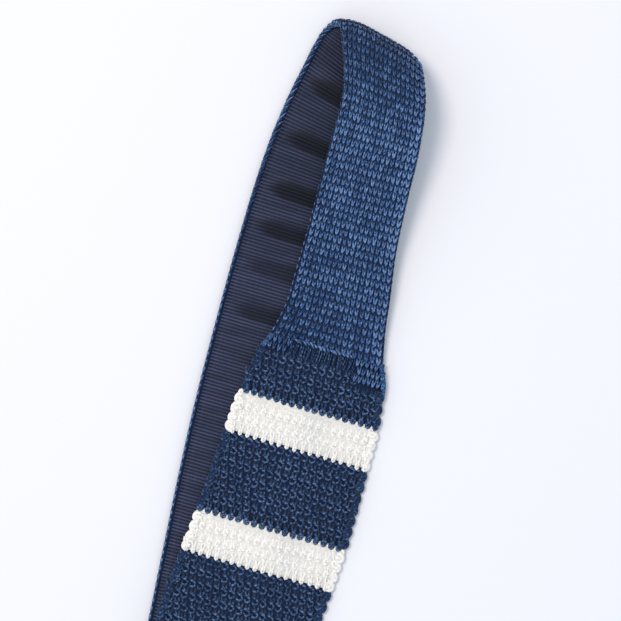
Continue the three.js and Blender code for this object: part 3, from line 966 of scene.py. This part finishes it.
# the rear run, which lies face down, takes plainer stitches
frontMade = neckRows(neckStitch(8, 5), neck["endMargin"], turnedAt)
neckFront = addPiece("neck_band_front_knit", frontMade, [heatherWool])
rearMade = neckRows(neckStitch(6, 4), turnedAt, bandLength - neck["endMargin"])
neckRear = addPiece("neck_band_rear_knit", rearMade, [heatherWool])


# A slab that follows the band, from one place along it to another
def bandSlab(start, end, step, columns, insetAt, lowAt, highAt):
    along = np.linspace(start, end, int((end - start) / step) + 1)
    inset = (insetAt(along) / bandWidth(along))[:, None]
    u = mix(inset, 1 - inset, np.linspace(0, 1, columns)[None])
    v = along[:, None] + np.zeros(columns)
    shape = u.shape + (3,)
    face = onBand(u.ravel(), v.ravel(), highAt(u, v).ravel()).reshape(shape)
    back = onBand(u.ravel(), v.ravel(), lowAt(u, v).ravel()).reshape(shape)
    return slabOf(face, back)


# The cloth behind the V stitches, thinner by its edges, in the yarn's painted shade copy
backing = {
    "endIn": 0.3, "step": 2.0, "columns": 15, "inset": 0.7, "low": -1.0, "high": 0.35, "rounding": 0.4,
}


def backingRounding(u):
    return backing["rounding"] * np.abs(2 * u - 1) ** 8


made = bandSlab(
    backing["endIn"], bandLength - backing["endIn"], backing["step"], backing["columns"],
    lambda v: backing["inset"] + 0 * v,
    lambda u, v: backing["low"] + backingRounding(u),
    lambda u, v: backing["high"] - backingRounding(u),
)
neckCloth = addPiece("neck_band_cloth", made, [heatherShadedBack])
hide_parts("neck_band")


# Along each edge of the band two plies twist round each other, painted lighter as a highlight where they come to
# the outside and darker as shade where they turn in, with a fine twisted cord on the face whose top has a painted
# highlight. Near the fold, more yarn is wrapped over the edge, slanting from the ribbon out to the edge and round
# to the face
edge = {
    "step": 0.75,
    "turn": 6.3,  # length of one turn of the plies
    "ply": 0.5,
    "twist": 0.36,
    "in": 0.9,
    "up": -0.75,
    "brightY": (-40, 0, 30, 60),  # tone of the plies where the strap's inner side shows, at some heights
    "bright": (1.2, 0.9, 0.4, 0.6),
    "elsewhere": 0.6,
    "inward": -0.4,
    "cord": 0.2,
    "cordTwist": 0.18,
    "cordIn": 0.55,
    "cordUp": 0.5,
    "wrap": 0.35,
    "wrapPath": [
        (2.7, -2.3, -1.3), (2.1, -1.5, -1.7), (1.4, -0.6, -1.75), (0.9, 0.4, -1.35), (0.55, 1.1, -0.6),
        (0.5, 1.6, 0.1),
    ],
    "wrapThick": (0.7, 1, 1.1, 1, 0.9, 0.8),
    "underWrap": (0, 1.5, 0.35),  # from a wrapped yarn to the thicker, darker one below it
    "underThick": 1.4,
    "from": 45,  # the wrapping starts at this height
    "full": 90,  # and is at its lightest from this one
}


def edgePlies(side, v, y, start):
    turn = v * 2 * math.pi / edge["turn"] + start
    out, lift = np.cos(turn), np.sin(turn)
    path = np.stack([-side * (edge["in"] - edge["twist"] * out), v, edge["up"] + 0.5 * edge["twist"] * lift], 1)
    ply = strand(path, edge["ply"], 6)
    bright = np.where(v > strapStart, np.interp(y, edge["brightY"], edge["bright"]), edge["elsewhere"])
    place = ply["points"][:, 1]
    # painted highlight where the ply comes to the outside, painted shade where it turns in
    ply["crest"] = smoothStep(np.interp(place, v, out), 0.3, 0.9)
    ply["tone"] = mix(edge["inward"], np.interp(place, v, bright), ply["crest"])
    out, lift = edge["cordTwist"] * np.cos(2 * turn), edge["cordTwist"] * np.sin(2 * turn)
    cord = strand(np.stack([-side * (edge["cordIn"] + out), v, edge["cordUp"] + lift], 1), edge["cord"], 5)
    cord["tone"] = np.interp(cord["points"][:, 1], v, mix(-0.2, 0.9, smoothStep(y, 60, 100)))
    # painted highlight on the cord's top
    cord["crest"] = smoothStep(cord["points"][:, 2], 0.2, 1.1)
    return [ply, cord]


def wrappedEdge(side):
    v = np.arange(0.5, bandLength - 0.4, edge["step"])
    y = middleY(v)
    plies = [*edgePlies(side, v, y, 0), *edgePlies(side, v, y, math.pi)]
    path = np.array(edge["wrapPath"]) * (-side, 1, 1)
    thick = np.array(edge["wrapThick"]) * edge["wrap"]
    wrap = strand(path, thick, 5, 6, across=(0.3, 0.3, 1))
    under = strand(path + edge["underWrap"], thick * edge["underThick"], 5, 6, across=(0.3, 0.3, 1))
    along = np.arange(1.6, bandLength - 1.5, neck["row"])
    y = middleY(along)
    wrapped = (along > strapStart) & (y > edge["from"])
    along, lightness = along[wrapped], smoothStep(y[wrapped], edge["from"], edge["full"])
    middle = np.zeros(len(along))
    wraps = repeated(wrap, middle, along, 0.8, 0.3, mix(-0.1, 1.3, lightness))
    unders = repeated(under, middle, along, 0.8, 0.3, -0.3)
    # less of the painted crest highlight on the yarn below the wrap
    unders["crest"] *= 0.3
    made = joined([wraps, unders, *plies])
    share = 0.5 + side * 0.5 + made["points"][:, 0] / bandWidth(made["points"][:, 1])
    made["points"] = onBand(share, made["points"][:, 1], made["points"][:, 2])
    return made


ropes = [
    addPiece(f"neck_edge_{name}", wrappedEdge(side), [heatherWool])
    for name, side in (("left", -1), ("right", 1))
]
print("neck band ready")


# The ribbon inside the band, with cross ribs and with tucks that open towards the strap's right edge
ribs = {
    "pitch": 1.3,
    "depth": 0.36,
    "steps": 4,  # of the mesh over one rib
    "columns": 13,
    "start": 0.6,
    "endIn": 1.0,
    "strapInset": (2.0, 2.5),  # the margin on the strap, and near the fold
}
tucks = {
    "rise": 1.9,
    "steep": 6.4,  # length of a tuck's steep side
    "slope": 8.0,  # length of its gentle side
    "opens": (-0.02, 0.4),  # shares of the width between which it grows to its full length
    # height of each crease, and how deep it is
    "creases": [
        (-31, 0.3), (-14, 0.3), (2.8, 0.75), (20.5, 0.5), (35.7, 0.85), (51, 1), (70.7, 1), (91.2, 1), (111, 0.6),
        (129, 0.5), (147, 0.3), (400, 0),
    ],
}
creaseY, creaseDepth = np.array(tucks["creases"]).T


# How far each place lies through the steep side of its tuck, how far the tuck reaches there, how far the place is
# above the tuck's crease, and how deep that is
def tuckAt(u, v):
    y = middleY(v)
    crease = np.clip(np.searchsorted(creaseY, y) - 1, 0, len(creaseY) - 1)
    above = np.where(y < creaseY[0], 99, y - creaseY[crease])
    reach = smoothStep(u, *tucks["opens"]) * smoothStep(v, turnedAt - 34, turnedAt - 20)
    half = tucks["steep"] / 2 * np.maximum(reach, 0.1) ** 0.7
    through = (above - tucks["steep"] / 2 + half) / (2 * half)
    return y, above, reach, through, creaseDepth[crease]


def puckerAt(u, v):
    y, above, reach, through, depth = tuckAt(u, v)
    down = np.clip((above - tucks["steep"]) / tucks["slope"], 0, 1)
    rise = tucks["rise"] * puckerDepth(y) / lining["rise"] * depth
    return rise * reach * smoothStep(through, 0, 1) * (1 - smoothStep(down, 0, 1))


# Painted shade over the steep side of each tuck, strongest where the tuck reaches furthest
def tuckShade(u, v):
    y, above, reach, through, depth = tuckAt(u, v)
    inside = smoothStep(through, -0.25, 0.25) * (1 - smoothStep(through, 0.6, 1.5))
    return depth * inside * smoothStep(reach, 0.05, 0.8) * smoothStep(y, -60, 30)


def ribAt(v):
    return ribs["depth"] * (np.abs(np.sin(math.pi * v / ribs["pitch"])) ** 1.2 - 0.6)


def ribbonInset(v):
    onStrap = mix(*ribs["strapInset"], smoothStep(middleY(v), 30, 90))
    return np.where(v > strapStart, onStrap, lining["inset"])


def ribbonDepth(u, v):
    return band["thickness"] / 2 + clearance + lining["thickness"] / 2 + puckerAt(u, v)


ribStep = ribs["pitch"] / ribs["steps"]
ribbonEnd = bandLength - ribs["endIn"]
made = bandSlab(
    ribs["start"], ribbonEnd, ribStep, ribs["columns"], ribbonInset,
    lambda u, v: -(ribbonDepth(u, v) + lining["thickness"] / 2 + ribAt(v)),
    lambda u, v: -(ribbonDepth(u, v) - lining["thickness"] / 2),
)
# painted sheen on the ribs and painted shade in the grooves between them, a little uneven, fainter high up and in
# the tucks
v = np.linspace(ribs["start"], ribbonEnd, int((ribbonEnd - ribs["start"]) / ribStep) + 1)[:, None]
v = v + np.zeros(2 * ribs["columns"])
u = np.concatenate([np.linspace(0, 1, ribs["columns"]), np.linspace(1, 0, ribs["columns"])])[None] + 0 * v
uneven = 0.75 + 0.4 * chance.random(int(bandLength / ribs["pitch"]) + 2)[(v / ribs["pitch"]).astype(int)]
uneven = uneven + 0.15 * np.sin(u * 9 + v * 0.7) * np.sin(v * 0.31)
lit = mix(1, 0.72, smoothStep(middleY(v), 10, 80))
onRib = np.abs(np.sin(math.pi * v / ribs["pitch"])) ** 2.6
made["crest"] = (onRib * uneven * lit * (1 - 0.9 * tuckShade(u, v))).ravel()
# the tone carries the tucks' painted shade
made["tone"] = tuckShade(u, v).ravel()
ribbonPiece = addPiece("neck_lining_ribbon", made, [ribbonSilk])
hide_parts("neck_lining")
print("lining ready")


# The join: a raised row of short stitches at the ribbon's end, finer strands drawn down from it, and by the
# blade's edges a few more rows of the band's own stitches
def joinRow(stitch, x, y, lift, *looks):
    made = repeated(stitch, x, np.full(len(x), y), *looks)
    made["points"][:, 2] += frontRest(made["points"][:, 0], made["points"][:, 1]) + blade["thickness"] + lift
    return made


bar = strand(join["bar"], join["yarn"], 5, 6)
x = np.arange(join["from"], join["to"], join["barPitch"])
ridge = joinRow(bar, x, join["barY"], join["lift"], 1.0, 2.0, 0.1)
drawn = strand(join["drawn"], join["drawnYarn"], 5, 8)
x = np.arange(join["from"] - join["past"], join["to"] + join["past"] + 1, join["drawnPitch"])
drawn = joinRow(drawn, x, join["drawnY"], 0, 1.0, 1.2)
# the drawn strands get half the painted crest highlight
drawn["crest"] *= 0.5
parts = [ridge]
for row, y in enumerate(join["rowsY"]):
    left, right = (float(frontCentre(y) + side * frontWidth(y) / 2) for side in (-1, 1))
    x = np.arange(right - join["rimIn"], join["to"] + join["past"] + 0.6 * row, -join["wale"])
    parts.append(joinRow(neckStitch(8, 5), x, y, 0.1, 1.05, 1.0, -0.1))
    if row < join["leftRows"]:
        # the rows on the left are darker, painted shade in the corner by the seam and the left edge
        x = np.arange(left + join["rimIn"], join["from"] - join["past"] - row, join["wale"])
        parts.append(joinRow(neckStitch(8, 5), x, y, 0.1, 1.05, 1.0, -0.5))
# a smooth edge on both sides of them, of two strands one over the other
rims = {"ends": ((-1, -6), (1, -11)), "in": 0.85, "step": 0.7, "strands": ((2.1, 0.7), (1.1, 0.8))}
for side, end in rims["ends"]:
    y = np.arange(end, 1.0, rims["step"])
    x = frontCentre(y) + side * (frontWidth(y) / 2 - rims["in"])
    for up, radius in rims["strands"]:
        rim = strand(np.stack([x, y, frontRest(x, y) + up], 1), radius, 6)
        rim["tone"] = np.full(len(rim["points"]), 0.3)
        rim["crest"] = np.full(len(rim["points"]), 0.5)
        parts.append(rim)
joinStitches = addPiece("join_stitches", joined(parts), [heatherWool])
joinStrands = addPiece("join_strands", drawn, [navyWool])
print("join ready")


# Floor, light and camera. Lengths are in metres here, but for the places that are looked at
studio = {
    "floor": (218, 219, 222),
    "floorHalf": 3,
    "keyPower": 14.0,
    "keySize": 0.6,
    "keyDistance": 1.6,
    "keyHeight": 66,  # degrees above the table
    "keyFrom": 163,  # degrees round from the part's x axis
    "keyColour": (1.0, 0.85, 0.76),
    "keyAim": (-11.0, 13.0, 0),
    "sky": (0.81, 0.89, 1.0),
    "skyLevel": 1.05,
}
half = studio["floorHalf"]
mesh = bpy.data.meshes.new("floor")
mesh.from_pydata([(-half, -half, 0), (half, -half, 0), (half, half, 0), (-half, half, 0)], [], [(0, 1, 2, 3)])
floor = bpy.data.objects.new("floor", mesh)
scene.collection.objects.link(floor)
material = bpy.data.materials.new("pale paper")
material.use_nodes = True
material.node_tree.nodes["Principled BSDF"].inputs["Base Color"].default_value = colour(*studio["floor"])
material.node_tree.nodes["Principled BSDF"].inputs["Roughness"].default_value = 0.9
mesh.materials.append(material)

world = bpy.data.worlds.new("studio")
scene.world = world
world.use_nodes = True
world.node_tree.nodes["Background"].inputs["Color"].default_value = (*studio["sky"], 1)
world.node_tree.nodes["Background"].inputs["Strength"].default_value = studio["skyLevel"]

lamp = bpy.data.lights.new("key", "AREA")
lamp.shape = "DISK"
lamp.size = studio["keySize"]
lamp.energy = studio["keyPower"]
lamp.color = studio["keyColour"]
key = bpy.data.objects.new("key", lamp)
scene.collection.objects.link(key)
climb, around = math.radians(studio["keyHeight"]), math.radians(studio["keyFrom"])
toKey = np.array([math.cos(climb) * math.cos(around), math.cos(climb) * math.sin(around), math.sin(climb)])
key.location = (np.array(studio["keyAim"]) + toFrame) / 1000 + toKey * studio["keyDistance"]
key.rotation_euler = (math.pi / 2 - climb, 0, around + math.pi / 2)

view = {"over": (-10.9, 13.0), "height": 1.05, "lens": 157.3, "turn": 16.5}
camera = bpy.data.objects.new("camera", bpy.data.cameras.new("camera"))
scene.collection.objects.link(camera)
camera.data.lens = view["lens"]
camera.location = (*((np.array(view["over"]) + toFrame[:2]) / 1000), view["height"])
camera.rotation_euler = (0, 0, math.radians(view["turn"]))
scene.camera = camera
scene.view_settings.view_transform = "Standard"
print("light and camera ready")
